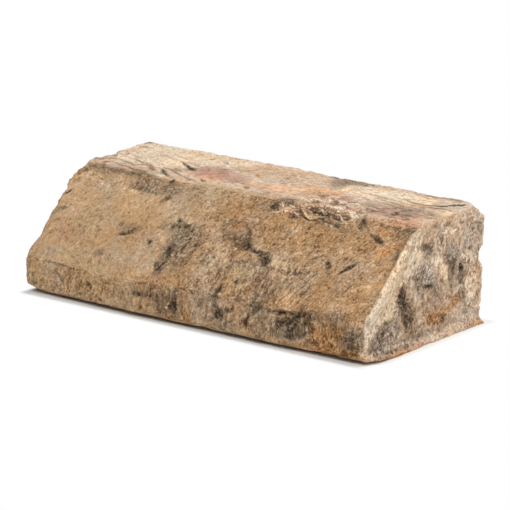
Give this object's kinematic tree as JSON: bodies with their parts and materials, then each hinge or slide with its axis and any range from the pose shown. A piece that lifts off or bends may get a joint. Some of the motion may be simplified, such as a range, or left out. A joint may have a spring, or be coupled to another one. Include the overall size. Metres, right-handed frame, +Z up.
{
  "type": "clay plinth brick",
  "caption": "Hand-moulded clay brick with a long sloped face over a low lip, flat beds and back, worn arrises and a little mould flash at one end.",
  "frame": {"origin": "bottom centre of the brick's box, on the plane that it lies on", "axes": "+X along the brick to the end with the flash, +Y to the tall back face, +Z up from the bottom bed; the lip faces -Y"},
  "size_m": [0.219, 0.1025, 0.06],
  "materials": {
    "fired_clay": "matt, sand-faced, with grey reduction smudges and rust-coloured flecks"
  },
  "bodies": {
    "root": {"brick": "fired_clay"}
  },
  "joints": []
}
